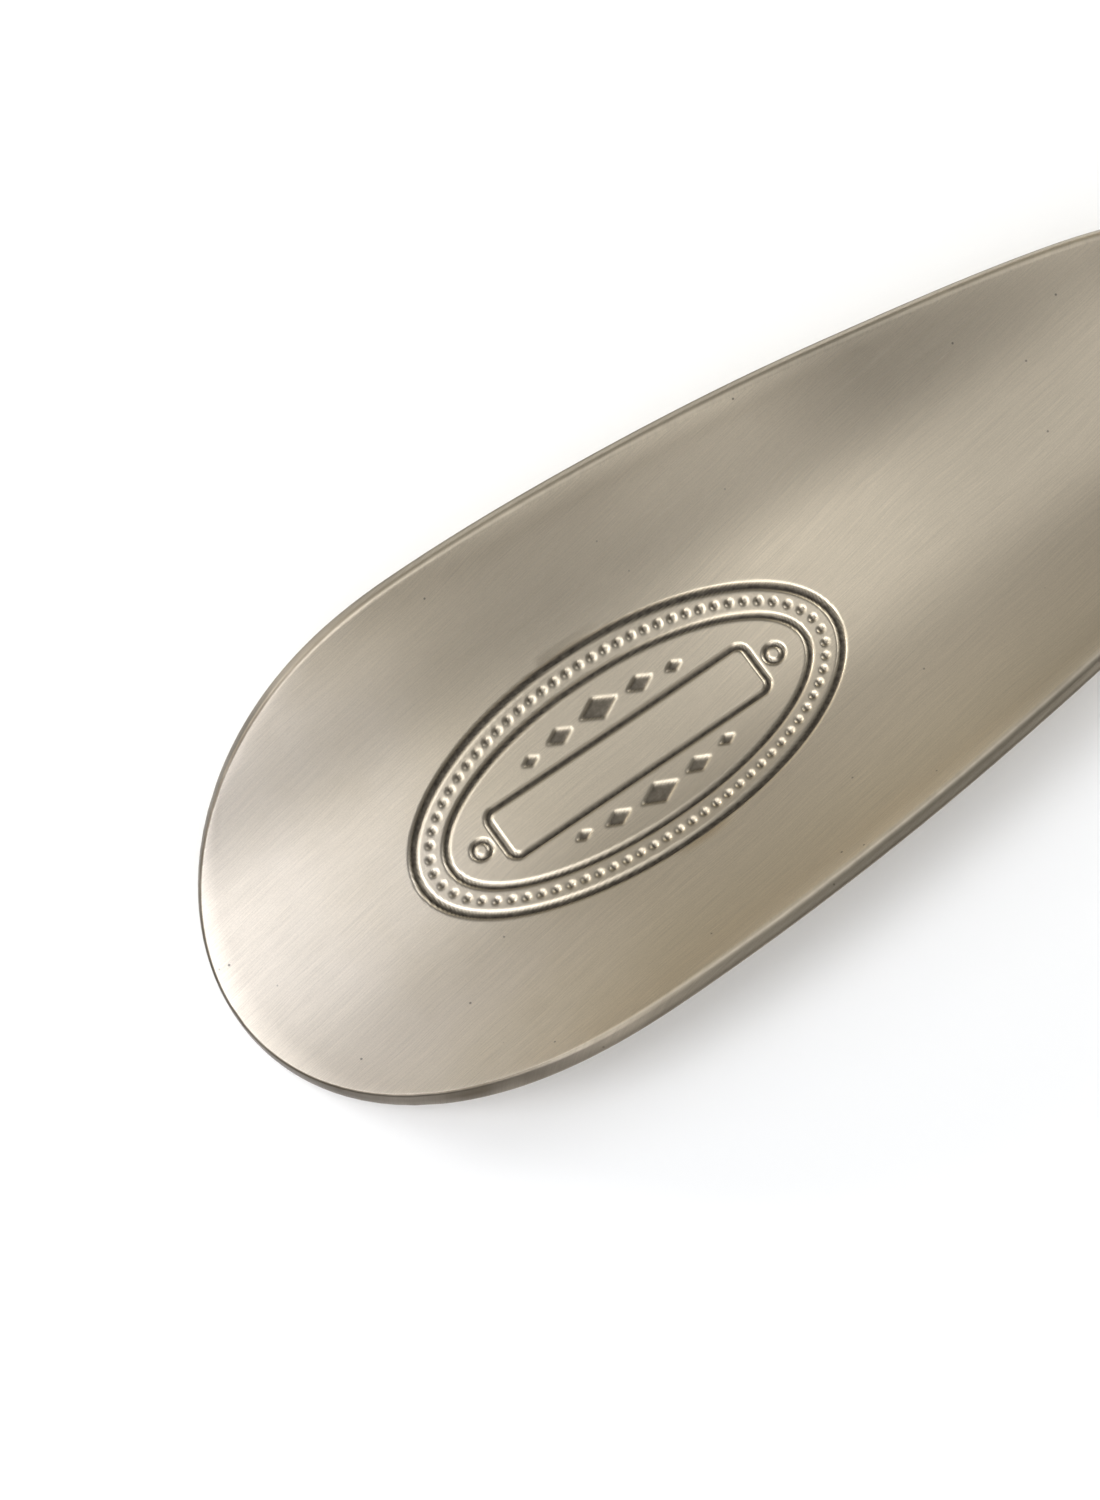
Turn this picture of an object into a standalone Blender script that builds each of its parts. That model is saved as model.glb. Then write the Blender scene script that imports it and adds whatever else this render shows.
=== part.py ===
"""Long shoehorn: one pressed sheet-metal blade with a riveted, stitched leather grip and a D-ring.

Lengths are written in millimetres along the blade (s runs from the tip to the ring) and are
turned into metres by MM. The finished object lies concave side up on z = 0, its length along X,
its symmetry plane at y = 0.
"""
import math

import bmesh
import bpy
import numpy as np

MM = 0.001
GAP = 0.3                     # clearance between neighbouring pieces

# ---- blade: one pressed sheet ------------------------------------------------------------
SHEET = 1.5                   # sheet thickness
RIM_BREAK = 0.35              # broken edge all round the sheet
TIP_LENGTH = 30.0             # from the tip to the widest section
TIP_POWER = 2.45              # bluntness of the tip's outline
SPOON_HALF = 21.2             # half of the greatest width
TANG_START = 405.0            # from here on the sheet is flat
TANG_HALF = 8.0
TANG_Z = 3.3                  # underside of the flat tang
TANG_END = 545.0              # here the sheet starts to curl into the eye
EYE_RADIUS = 3.4              # outside radius of the rolled eye
EYE_TURN = 290.0              # degrees of curl

# half-width of the sheet behind the widest section (position, half-width)
HALF_WIDTHS = [(TIP_LENGTH, SPOON_HALF), (50.0, 20.3), (70.0, 17.9), (90.0, 14.2), (105.0, 9.8),
               (125.0, 8.0), (150.0, 7.5), (300.0, 7.8), (TANG_START, TANG_HALF)]
# height of the back's centre line above the floor (position, height)
BACK_HEIGHTS = [(0.0, 0.0), (25.0, 1.1), (50.0, 2.1), (70.0, 3.9), (90.0, 5.8), (105.0, 7.6),
                (130.0, 10.4), (160.0, 12.8), (200.0, 14.4), (250.0, 14.0), (300.0, 11.6),
                (350.0, 7.4), (382.0, 4.4), (TANG_START, TANG_Z)]
# cross curvature of the back, one over the radius (position, curvature)
CURVATURES = [(0.0, 1 / 32.0), (30.0, 1 / 30.0), (60.0, 1 / 28.0), (90.0, 1 / 26.0),
              (110.0, 1 / 20.0), (130.0, 1 / 13.5), (150.0, 1 / 10.0), (365.0, 1 / 10.0),
              (TANG_START, 0.0)]
TIP_CORNER = 0.70             # part of the half-width that the first row of the grid takes
TIP_BLEND_END = 45.0          # rows behind this are straight across
COLUMNS = 10

# ---- leather grip ------------------------------------------------------------------------
GRIP_START, GRIP_END = 408.0, 538.0
GRIP_HALF = 13.0
GRIP_CORNER = 8.0             # corner radius in plan
LEATHER = 3.0                 # thickness of each scale
LEATHER_EDGE = 0.6            # burnished edge of each scale
STITCH_INSET = 2.6            # seam line inside the scale's edge
THREAD_RADIUS = 0.4
GROOVE_RADIUS = THREAD_RADIUS + GAP
THREAD_SINK = 0.45            # depth of the thread's middle under the leather face
WELT_IN = TANG_HALF + GAP

# ---- rivets ------------------------------------------------------------------------------
RIVETS_AT = [421.0, 473.0, 525.0]
POST_RADIUS = 1.5
BORE_RADIUS = POST_RADIUS + GAP
SLEEVE_RADIUS = 2.5
HEAD_RADIUS = 4.5
HEAD_SINK = 1.0               # how deep the lower head sits in the leather
CAP_RISE = 1.1                # how far the domed cap stands over the leather

# ---- hang ring ---------------------------------------------------------------------------
WIRE_RADIUS = 1.5
RING_BAR_HALF = 9.0           # straight part of the bar
RING_CORNER = 3.0
RING_REACH = 20.0             # from the bar to the far side, wire middles
PIVOT_S = TANG_END
PIVOT_Z = TANG_Z + EYE_RADIUS
RING_DROOP = math.asin((PIVOT_Z - WIRE_RADIUS) / RING_REACH)

LENGTH = PIVOT_S + RING_REACH * math.cos(RING_DROOP) + WIRE_RADIUS

LOWER_TOP = LEATHER                       # inner face of the lower scale
UPPER_BOTTOM = TANG_Z + SHEET + GAP       # inner face of the upper scale
UPPER_TOP = UPPER_BOTTOM + LEATHER


def world_x(s):
    """Position along the blade to world x, in millimetres."""
    return s - LENGTH / 2


# ---- scene and collections ---------------------------------------------------------------
for old in list(bpy.data.objects):
    bpy.data.objects.remove(old, do_unlink=True)

parts = bpy.data.collections.new("long_shoehorn")
cutters = bpy.data.collections.new("cutters")
bpy.context.scene.collection.children.link(parts)
bpy.context.scene.collection.children.link(cutters)


def material(name, colour, roughness, metallic):
    m = bpy.data.materials.new(name)
    m.use_nodes = True
    bsdf = m.node_tree.nodes["Principled BSDF"]
    bsdf.inputs["Base Color"].default_value = (*colour, 1.0)
    bsdf.inputs["Roughness"].default_value = roughness
    bsdf.inputs["Metallic"].default_value = metallic
    m.diffuse_color = (*colour, 1.0)
    return m


def new_object(name, data, collection, mat=None):
    ob = bpy.data.objects.new(name, data)
    collection.objects.link(ob)
    if mat is not None:
        data.materials.append(mat)
    return ob


def cutter(ob):
    ob.hide_render = True
    ob.display_type = 'WIRE'
    return ob


def cut(ob, tool):
    b = ob.modifiers.new("cut_" + tool.name, 'BOOLEAN')
    b.operation = 'DIFFERENCE'
    b.solver = 'EXACT'
    b.object = tool


def to_mesh_object(curve_ob, collection, mat=None):
    """A curve's evaluated mesh, with its caps welded, in place of the curve."""
    bpy.context.view_layer.update()
    deps = bpy.context.evaluated_depsgraph_get()
    mesh = bpy.data.meshes.new_from_object(curve_ob.evaluated_get(deps))
    bm = bmesh.new()
    bm.from_mesh(mesh)
    bmesh.ops.remove_doubles(bm, verts=bm.verts, dist=1e-6)
    bmesh.ops.recalc_face_normals(bm, faces=bm.faces)
    bm.to_mesh(mesh)
    bm.free()
    name, place = curve_ob.name, curve_ob.matrix_world.copy()
    bpy.data.objects.remove(curve_ob, do_unlink=True)
    mesh.materials.clear()
    ob = new_object(name, mesh, collection, mat)
    ob.matrix_world = place
    return ob


# ---- rules of the pressed sheet ----------------------------------------------------------
def through(x, pts, first=None, last=None):
    """Smooth curve through a few (position, value) pairs; first and last are end slopes."""
    px = [p[0] for p in pts]
    py = [p[1] for p in pts]
    n = len(pts)
    h = [px[i + 1] - px[i] for i in range(n - 1)]
    d = [(py[i + 1] - py[i]) / h[i] for i in range(n - 1)]
    m = [d[0] if first is None else first]
    for i in range(1, n - 1):
        level = d[i - 1] * d[i] <= 0      # no overshoot at a peak or beside a level run
        m.append(0.0 if level else (h[i] * d[i - 1] + h[i - 1] * d[i]) / (h[i - 1] + h[i]))
    m.append(d[-1] if last is None else last)
    x = min(max(x, px[0]), px[-1])
    i = 0
    while i < n - 2 and x > px[i + 1]:
        i += 1
    t = (x - px[i]) / h[i]
    return ((1 + 2 * t) * (1 - t) ** 2 * py[i] + t * (1 - t) ** 2 * h[i] * m[i]
            + t * t * (3 - 2 * t) * py[i + 1] + t * t * (t - 1) * h[i] * m[i + 1])


def half_width(s):
    if s < TIP_LENGTH:
        return SPOON_HALF * math.sqrt(max(0.0, 1 - (1 - s / TIP_LENGTH) ** TIP_POWER))
    return through(s, HALF_WIDTHS, first=0.0, last=0.0)


def tip_outline(y):
    """Position along the blade where the tip's outline has the half-width y."""
    return TIP_LENGTH * (1 - (1 - (y / SPOON_HALF) ** 2) ** (1 / TIP_POWER))


def back_point(s, y):
    """Point on the back (outer) face of the sheet, millimetres."""
    if s > TANG_END:
        a = (s - TANG_END) / EYE_RADIUS
        return (world_x(TANG_END + EYE_RADIUS * math.sin(a)), y,
                TANG_Z + EYE_RADIUS * (1 - math.cos(a)))
    k = through(s, CURVATURES, last=0.0)
    rise = 0.0 if k < 1e-6 else (1 - math.sqrt(1 - (k * y) ** 2)) / k
    return (world_x(s), y, through(s, BACK_HEIGHTS, last=0.0) + rise)


def rows():
    """Edge positions of the rows across the blade, tip to eye."""
    start = tip_outline(TIP_CORNER * SPOON_HALF)
    out = [start + (TIP_BLEND_END - start) * (i / 14) ** 1.4 for i in range(15)]
    for end, count in ((150.0, 21), (365.0, 11), (TANG_START, 8), (TANG_END, 4),
                       (TANG_END + math.radians(EYE_TURN) * EYE_RADIUS, 14)):
        begin = out[-1]
        out += [begin + (end - begin) * (i + 1) / count for i in range(count)]
    return out


nickel = material("brushed_nickel", (0.36, 0.32, 0.27), 0.38, 1.0)

row_s = rows()
corner_s = row_s[0]
bm = bmesh.new()
bmesh.ops.create_grid(bm, x_segments=len(row_s) - 1, y_segments=COLUMNS, size=1.0)
levels = sorted({round(v.co.x, 5) for v in bm.verts})
assert len(levels) == len(row_s)
for v in bm.verts:
    edge = row_s[levels.index(round(v.co.x, 5))]
    across = v.co.y
    # the first rows bend with the tip's outline and straighten towards TIP_BLEND_END
    bend = max(0.0, 1 - (edge - corner_s) / (TIP_BLEND_END - corner_s)) ** 1.3
    y = across * (half_width(edge) if edge < TANG_START else TANG_HALF)
    s = edge - bend * (corner_s - tip_outline(abs(across) * TIP_CORNER * SPOON_HALF))
    v.co = [c * MM for c in back_point(s, y)]
# the grid's faces look down, out of the back of the sheet
bmesh.ops.recalc_face_normals(bm, faces=bm.faces)
bm.faces.ensure_lookup_table()
middle = min(bm.faces, key=lambda f: (f.calc_center_median() - bm.faces[0].calc_center_median()).length)
if middle.normal.z > 0:
    bmesh.ops.reverse_faces(bm, faces=bm.faces)
mesh = bpy.data.meshes.new("blade")
bm.to_mesh(mesh)
bm.free()
mesh.shade_smooth()
blade = new_object("blade", mesh, parts, nickel)
sol = blade.modifiers.new("sheet", 'SOLIDIFY')
sol.thickness = SHEET * MM
sol.offset = -1.0
sol.use_even_offset = True
bev = blade.modifiers.new("rim", 'BEVEL')
bev.width = RIM_BREAK * MM
bev.segments = 1
bev.limit_method = 'ANGLE'
bev.angle_limit = math.radians(50)


# ---- turned shapes -----------------------------------------------------------------------
def turned(name, profile, s, collection, mat=None, steps=24):
    """Profile of (radius, height) pairs from the top of the axis down the outside, turned about Z."""
    mesh = bpy.data.meshes.new(name)
    pts = [(r * MM, 0.0, z * MM) for r, z in profile]
    mesh.from_pydata(pts, [(i, i + 1) for i in range(len(pts) - 1)], [])
    ob = new_object(name, mesh, collection, mat)
    ob.location = (world_x(s) * MM, 0.0, 0.0)
    scr = ob.modifiers.new("turn", 'SCREW')
    scr.axis = 'Z'
    scr.angle = 2 * math.pi
    scr.steps = steps
    scr.render_steps = steps
    scr.use_merge_vertices = True
    scr.merge_threshold = 1e-6
    scr.use_smooth_shade = True
    return ob


rivet_metal = material("rivet_nickel", (0.33, 0.29, 0.245), 0.34, 1.0)

tang_holes, lower_holes, upper_holes = [], [], []
for n, s in enumerate(RIVETS_AT, 1):
    lower_recess = HEAD_SINK + GAP
    upper_recess = UPPER_TOP - 0.8
    # plain hole through the tang
    tang_holes.append(cutter(turned(
        f"tang_hole_{n}", [(0, TANG_Z + 4), (BORE_RADIUS, TANG_Z + 4), (BORE_RADIUS, TANG_Z - 2),
                           (0, TANG_Z - 2)], s, cutters)))
    # stepped hole through the lower scale, with the head's seat
    lower_holes.append(cutter(turned(
        f"lower_hole_{n}", [(0, LEATHER + 1), (BORE_RADIUS, LEATHER + 1), (BORE_RADIUS, lower_recess),
                            (HEAD_RADIUS + GAP, lower_recess), (HEAD_RADIUS + GAP, -1), (0, -1)],
        s, cutters)))
    # stepped hole through the upper scale, with the cap's seat
    upper_holes.append(cutter(turned(
        f"upper_hole_{n}", [(0, UPPER_TOP + 1), (HEAD_RADIUS + GAP, UPPER_TOP + 1),
                            (HEAD_RADIUS + GAP, upper_recess), (SLEEVE_RADIUS + GAP, upper_recess),
                            (SLEEVE_RADIUS + GAP, UPPER_BOTTOM - 1), (0, UPPER_BOTTOM - 1)],
        s, cutters)))
    # lower half: flat head and solid post
    post_top = UPPER_TOP - 0.6
    turned(f"rivet_post_{n}", [(0, post_top), (POST_RADIUS - 0.2, post_top), (POST_RADIUS, post_top - 0.3),
                               (POST_RADIUS, HEAD_SINK), (HEAD_RADIUS - 0.25, HEAD_SINK),
                               (HEAD_RADIUS, HEAD_SINK - 0.25), (HEAD_RADIUS, 0.35),
                               (HEAD_RADIUS - 0.25, 0.1), (0, 0.1)], s, parts, rivet_metal)
    # upper half: domed cap with the sleeve that the post enters
    seat = upper_recess + GAP
    dome = [(HEAD_RADIUS * math.sin(a), seat + 0.55 + (CAP_RISE + 0.8 - GAP - 0.55) * math.cos(a))
            for a in (math.radians(t) for t in range(0, 91, 15))]
    dome[0] = (0.0, dome[0][1])
    turned(f"rivet_cap_{n}", dome + [(HEAD_RADIUS, seat + 0.15), (HEAD_RADIUS - 0.15, seat),
                                     (SLEEVE_RADIUS, seat), (SLEEVE_RADIUS, UPPER_BOTTOM + 0.1),
                                     (BORE_RADIUS, UPPER_BOTTOM + 0.1), (BORE_RADIUS, post_top + 0.35),
                                     (0, post_top + 0.35)], s, parts, rivet_metal)

for tool in tang_holes:
    cut(blade, tool)


# ---- leather scales, welts and seams -----------------------------------------------------
def scale_outline(inset=0.0, arc_steps=6):
    """Points round the grip's plan, a rectangle with round corners, counter-clockwise."""
    x0, x1, h = GRIP_START + inset, GRIP_END - inset, GRIP_HALF - inset
    r = GRIP_CORNER - inset
    out = []
    for cx, cy, a0 in ((x1 - r, h - r, 0), (x0 + r, h - r, 90), (x0 + r, r - h, 180), (x1 - r, r - h, 270)):
        for i in range(arc_steps + 1):
            a = math.radians(a0 + 90 * i / arc_steps)
            out.append((cx + r * math.cos(a), cy + r * math.sin(a)))
    return out


def flat_curve(name, outline, z0, z1, collection):
    """Flat outline extruded from z0 to z1."""
    cu = bpy.data.curves.new(name, 'CURVE')
    cu.dimensions = '2D'
    cu.fill_mode = 'BOTH'
    cu.extrude = (z1 - z0) / 2 * MM
    sp = cu.splines.new('POLY')
    sp.points.add(len(outline) - 1)
    for p, (s, y) in zip(sp.points, outline):
        p.co = (world_x(s) * MM, y * MM, 0.0, 1.0)
    sp.use_cyclic_u = True
    ob = new_object(name, cu, collection)
    ob.location = (0, 0, (z0 + z1) / 2 * MM)
    return ob


def wire_loop(name, pts, radius, collection, resolution=2):
    """Round wire bent along a closed run of points (millimetres, object's own axes)."""
    cu = bpy.data.curves.new(name, 'CURVE')
    cu.dimensions = '3D'
    cu.fill_mode = 'FULL'
    cu.bevel_depth = radius * MM
    cu.bevel_resolution = resolution
    cu.use_fill_caps = True
    sp = cu.splines.new('POLY')
    sp.points.add(len(pts) - 1)
    for p, q in zip(sp.points, pts):
        p.co = (q[0] * MM, q[1] * MM, q[2] * MM, 1.0)
    sp.use_cyclic_u = True
    return new_object(name, cu, collection)


leather = material("saddle_leather", (0.21, 0.085, 0.033), 0.55, 0.0)
welt_leather = material("welt_leather", (0.15, 0.06, 0.026), 0.6, 0.0)
thread = material("waxed_thread", (0.62, 0.53, 0.38), 0.7, 0.0)


def seam_points(z, per_side=5):
    """Seam line round the grip at height z: corner points plus points along the straight runs."""
    plan = scale_outline(STITCH_INSET, 5)
    out = []
    for i, (s, y) in enumerate(plan):
        s2, y2 = plan[(i + 1) % len(plan)]
        out.append((world_x(s), y, z))
        if math.hypot(s2 - s, y2 - y) > 6.0:
            for j in range(1, per_side):
                f = j / per_side
                out.append((world_x(s + (s2 - s) * f), y + (y2 - y) * f, z))
    return out


def scale_piece(name, z0, z1, seam_z, holes):
    ob = to_mesh_object(flat_curve(name, scale_outline(), z0, z1, parts), parts, leather)
    edge = ob.modifiers.new("burnished_edge", 'BEVEL')
    edge.width = LEATHER_EDGE * MM
    edge.segments = 2
    edge.limit_method = 'ANGLE'
    edge.angle_limit = math.radians(50)
    groove = cutter(to_mesh_object(
        wire_loop(name + "_groove", seam_points(seam_z), GROOVE_RADIUS, cutters), cutters))
    cut(ob, groove)
    for tool in holes:
        cut(ob, tool)
    return ob


scale_piece("grip_leather_bottom", 0.0, LOWER_TOP, THREAD_SINK, lower_holes)
scale_piece("grip_leather_top", UPPER_BOTTOM, UPPER_TOP, UPPER_TOP - THREAD_SINK, upper_holes)

for name, z in (("stitching_bottom", THREAD_SINK), ("stitching_top", UPPER_TOP - THREAD_SINK)):
    to_mesh_object(wire_loop(name, seam_points(z), THREAD_RADIUS, parts), parts, thread)


def welt_outline(side):
    """Strip between the tang and the grip's edge; side is +1 or -1."""
    # the corner arcs meet the strip's inner line where y = WELT_IN
    arc = [(s, y) for s, y in scale_outline() if y > WELT_IN]
    drop = math.sqrt(max(0.0, GRIP_CORNER ** 2 - (WELT_IN - (GRIP_HALF - GRIP_CORNER)) ** 2))
    right = GRIP_END - GRIP_CORNER + drop
    left = GRIP_START + GRIP_CORNER - drop
    outline = [(right, WELT_IN)] + arc + [(left, WELT_IN)]
    if side < 0:
        outline = [(s, -y) for s, y in reversed(outline)]
    return outline


for name, side in (("welt_left", 1), ("welt_right", -1)):
    to_mesh_object(flat_curve(name, welt_outline(side), TANG_Z, TANG_Z + SHEET, parts), parts, welt_leather)


# ---- hang ring ---------------------------------------------------------------------------
def ring_points():
    """D outline in the ring's own plane, the bar along Y through the origin."""
    out = [(0.0, RING_BAR_HALF * t, 0.0) for t in (-1.0, -0.5, 0.0, 0.5)]
    side = RING_BAR_HALF + RING_CORNER
    for i in range(5):
        a = math.radians(90 * i / 4)
        out.append((RING_CORNER * (1 - math.cos(a)), RING_BAR_HALF + RING_CORNER * math.sin(a), 0.0))
    bow = RING_REACH - RING_CORNER
    for i in range(1, 18):
        a = math.pi * i / 18
        out.append((RING_CORNER + bow * math.sin(a), side * math.cos(a), 0.0))
    for i in range(4, 0, -1):
        a = math.radians(90 * i / 4)
        out.append((RING_CORNER * (1 - math.cos(a)), -RING_BAR_HALF - RING_CORNER * math.sin(a), 0.0))
    return out


ring_steel = material("ring_nickel", (0.34, 0.30, 0.25), 0.32, 1.0)
ring = wire_loop("hang_ring", ring_points(), WIRE_RADIUS, parts, resolution=3)
ring.location = (world_x(PIVOT_S) * MM, 0.0, PIVOT_Z * MM)
ring.rotation_euler = (0.0, RING_DROOP, 0.0)
ring = to_mesh_object(ring, parts, ring_steel)

for ob in parts.objects:
    if ob.type == 'MESH' and ob.name != "blade" and not ob.name.startswith("rivet"):
        ob.data.shade_smooth()
        ob.data.set_sharp_from_angle(angle=math.radians(35))
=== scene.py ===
"""Looks of the long shoehorn: brushed blade, leather grip, seams, rivets, ring, floor, light and camera."""
import math

import bmesh
import bpy
import numpy as np
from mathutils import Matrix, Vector


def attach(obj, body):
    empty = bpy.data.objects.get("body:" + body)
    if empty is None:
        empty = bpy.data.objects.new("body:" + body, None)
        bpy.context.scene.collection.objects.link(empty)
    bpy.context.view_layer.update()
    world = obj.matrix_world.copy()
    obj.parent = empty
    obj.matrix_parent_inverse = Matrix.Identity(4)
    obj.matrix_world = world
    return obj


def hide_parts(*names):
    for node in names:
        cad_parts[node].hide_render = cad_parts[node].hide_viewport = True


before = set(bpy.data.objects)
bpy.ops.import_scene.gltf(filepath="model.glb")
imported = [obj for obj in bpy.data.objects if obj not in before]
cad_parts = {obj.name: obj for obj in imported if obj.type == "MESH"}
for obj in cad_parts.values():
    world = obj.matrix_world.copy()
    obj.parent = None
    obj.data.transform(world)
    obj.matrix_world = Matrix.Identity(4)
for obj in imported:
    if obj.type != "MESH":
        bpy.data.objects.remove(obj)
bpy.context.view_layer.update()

MM = 0.001
ROOT, RING = "shoehorn", "ring"

# ---- the pressed sheet's dimensions, as in the CAD (millimetres, s runs from the tip) -------
SHEET = 1.5
TIP_LENGTH, TIP_POWER, SPOON_HALF = 30.0, 2.45, 21.2
TANG_START, TANG_HALF, TANG_Z, TANG_END = 405.0, 8.0, 3.3, 545.0
EYE_RADIUS, EYE_TURN = 3.4, 290.0
HALF_WIDTHS = [(TIP_LENGTH, SPOON_HALF), (50.0, 20.3), (70.0, 17.9), (90.0, 14.2), (105.0, 9.8),
               (125.0, 8.0), (150.0, 7.5), (300.0, 7.8), (TANG_START, TANG_HALF)]
BACK_HEIGHTS = [(0.0, 0.0), (25.0, 1.1), (50.0, 2.1), (70.0, 3.9), (90.0, 5.8), (105.0, 7.6),
                (130.0, 10.4), (160.0, 12.8), (200.0, 14.4), (250.0, 14.0), (300.0, 11.6),
                (350.0, 7.4), (382.0, 4.4), (TANG_START, TANG_Z)]
CURVATURES = [(0.0, 1 / 32.0), (30.0, 1 / 30.0), (60.0, 1 / 28.0), (90.0, 1 / 26.0),
              (110.0, 1 / 20.0), (130.0, 1 / 13.5), (150.0, 1 / 10.0), (365.0, 1 / 10.0),
              (TANG_START, 0.0)]
TIP_CORNER, TIP_BLEND_END = 0.70, 45.0
GRIP_START, GRIP_END, GRIP_HALF, GRIP_CORNER, LEATHER = 408.0, 538.0, 13.0, 8.0, 3.0
UPPER_BOTTOM = TANG_Z + SHEET + 0.3
UPPER_TOP = UPPER_BOTTOM + LEATHER
STITCH_INSET = 2.6
RIVETS_AT = [421.0, 473.0, 525.0]
WIRE_RADIUS, RING_BAR_HALF, RING_CORNER, RING_REACH = 1.5, 9.0, 3.0, 20.0
PIVOT_Z = TANG_Z + EYE_RADIUS
RING_DROOP = math.asin((PIVOT_Z - WIRE_RADIUS) / RING_REACH)
LENGTH = TANG_END + RING_REACH * math.cos(RING_DROOP) + WIRE_RADIUS


# ---- camera --------------------------------------------------------------------------------
CAM_ELEVATION, CAM_TURN = math.radians(72.0), math.radians(34.635)
CAM_TARGET = Vector((33.353 - LENGTH / 2, 4.506, 0.0)) * MM
CAM_DISTANCE = 0.45
back_dir = Vector((-math.sin(CAM_TURN) * math.cos(CAM_ELEVATION),
                   -math.cos(CAM_TURN) * math.cos(CAM_ELEVATION), math.sin(CAM_ELEVATION)))
cam_data = bpy.data.cameras.new("camera")
cam_data.sensor_width = 36.0
cam_data.lens = 12.359 * 36.0 * 450.0 / 1500.0
cam_data.clip_start, cam_data.clip_end = 0.01, 20.0
cam = bpy.data.objects.new("camera", cam_data)
bpy.context.scene.collection.objects.link(cam)
cam.location = CAM_TARGET + back_dir * CAM_DISTANCE
cam.rotation_mode = "QUATERNION"
cam.rotation_quaternion = (-back_dir).to_track_quat("-Z", "Y")
bpy.context.scene.camera = cam


# ---- rules of the pressed sheet, over whole arrays -------------------------------------------
def through(x, pts, first=None, last=None):
    px = np.array([p[0] for p in pts], float)
    py = np.array([p[1] for p in pts], float)
    h = np.diff(px)
    d = np.diff(py) / h
    m = np.empty(len(px))
    m[0] = d[0] if first is None else first
    m[-1] = d[-1] if last is None else last
    m[1:-1] = np.where(d[:-1] * d[1:] <= 0, 0.0, (h[:-1] * d[1:] + h[1:] * d[:-1]) / (h[:-1] + h[1:]))
    x = np.clip(x, px[0], px[-1])
    i = np.clip(np.searchsorted(px, x, side="left") - 1, 0, len(h) - 1)
    t = (x - px[i]) / h[i]
    return ((1 + 2 * t) * (1 - t) ** 2 * py[i] + t * (1 - t) ** 2 * h[i] * m[i]
            + t * t * (3 - 2 * t) * py[i + 1] + t * t * (t - 1) * h[i] * m[i + 1])


def half_width(s):
    s = np.asarray(s, float)
    tip = SPOON_HALF * np.sqrt(np.maximum(0.0, 1 - np.clip(1 - s / TIP_LENGTH, 0, 1) ** TIP_POWER))
    body = through(s, HALF_WIDTHS, first=0.0, last=0.0)
    return np.where(s < TIP_LENGTH, tip, np.where(s < TANG_START, body, TANG_HALF))


def tip_outline(y):
    return TIP_LENGTH * (1 - (1 - (y / SPOON_HALF) ** 2) ** (1 / TIP_POWER))


def back_point(s, y):
    s, y = np.broadcast_arrays(np.asarray(s, float), np.asarray(y, float))
    k = through(s, CURVATURES, last=0.0)
    rise = np.where(k < 1e-6, 0.0, (1 - np.sqrt(np.maximum(1 - (k * y) ** 2, 0))) / np.maximum(k, 1e-6))
    a = np.maximum(s - TANG_END, 0) / EYE_RADIUS
    x = np.where(s > TANG_END, TANG_END + EYE_RADIUS * np.sin(a), s)
    z = np.where(s > TANG_END, TANG_Z + EYE_RADIUS * (1 - np.cos(a)),
                 through(s, BACK_HEIGHTS, last=0.0) + rise)
    return np.stack([x - LENGTH / 2, y, z], -1)


def sheet_normal(s, y, h=0.02):
    ds = back_point(s + h, y) - back_point(s - h, y)
    dy = back_point(s, y + h) - back_point(s, y - h)
    n = np.cross(ds, dy)
    return n / np.linalg.norm(n, axis=-1, keepdims=True)


# ---- mesh helpers ------------------------------------------------------------------------------
def mesh_object(name, verts, faces, mat, uv=None, attrs=(), smooth=True):
    """verts in millimetres; uv is per vertex; attrs is (name, per-vertex values) pairs."""
    me = bpy.data.meshes.new(name)
    me.from_pydata([tuple(v) for v in np.asarray(verts, float) * MM], [], [tuple(map(int, f)) for f in faces])
    me.update()
    if uv is not None:
        layer = me.uv_layers.new(name="UVMap")
        idx = np.empty(len(me.loops), np.int32)
        me.loops.foreach_get("vertex_index", idx)
        layer.data.foreach_set("uv", np.asarray(uv, np.float32)[idx].ravel())
    for attr_name, values in attrs:
        at = me.attributes.new(attr_name, "FLOAT", "POINT")
        at.data.foreach_set("value", np.asarray(values, np.float32))
    if smooth:
        me.shade_smooth()
    me.materials.append(mat)
    ob = bpy.data.objects.new(name, me)
    bpy.context.scene.collection.objects.link(ob)
    return ob


def zip_rows(ia, ta, ib, tb, out, flip=False):
    """Triangles between two runs of vertices ia (at parameters ta) and ib (at tb)."""
    i = j = 0
    while i < len(ia) - 1 or j < len(ib) - 1:
        if j == len(ib) - 1 or (i < len(ia) - 1 and ta[i + 1] <= tb[j + 1]):
            tri = (ia[i], ib[j], ia[i + 1])
            i += 1
        else:
            tri = (ia[i], ib[j], ib[j + 1])
            j += 1
        out.append(tri[::-1] if flip else tri)


def quads(ia, ib, out, flip=False):
    for j in range(len(ia) - 1):
        q = (ia[j], ib[j], ib[j + 1], ia[j + 1])
        out.append(q[::-1] if flip else q)


def spread(edges_and_steps):
    """Stations from (end, step) pairs: even steps of about that size in each stretch."""
    out = [edges_and_steps[0][0]]
    for end, step in edges_and_steps[1:]:
        n = max(1, int(round((end - out[-1]) / step)))
        begin = out[-1]
        out += [begin + (end - begin) * (i + 1) / n for i in range(n)]
    return np.array(out)


# ---- the plain engraved cartouche -----------------------------------------------------------------
CARTOUCHE_AT = 38.0
GROOVE_DEPTH = 0.24
BEAD_OVAL, BEADS = (18.6, 8.4), 72


def oval_distance(p, q, a, b):
    f = np.sqrt((p / a) ** 2 + (q / b) ** 2)
    g = np.sqrt((p / a ** 2) ** 2 + (q / b ** 2) ** 2) / np.maximum(f, 1e-6)
    return (f - 1) / np.maximum(g, 1e-6)


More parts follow.
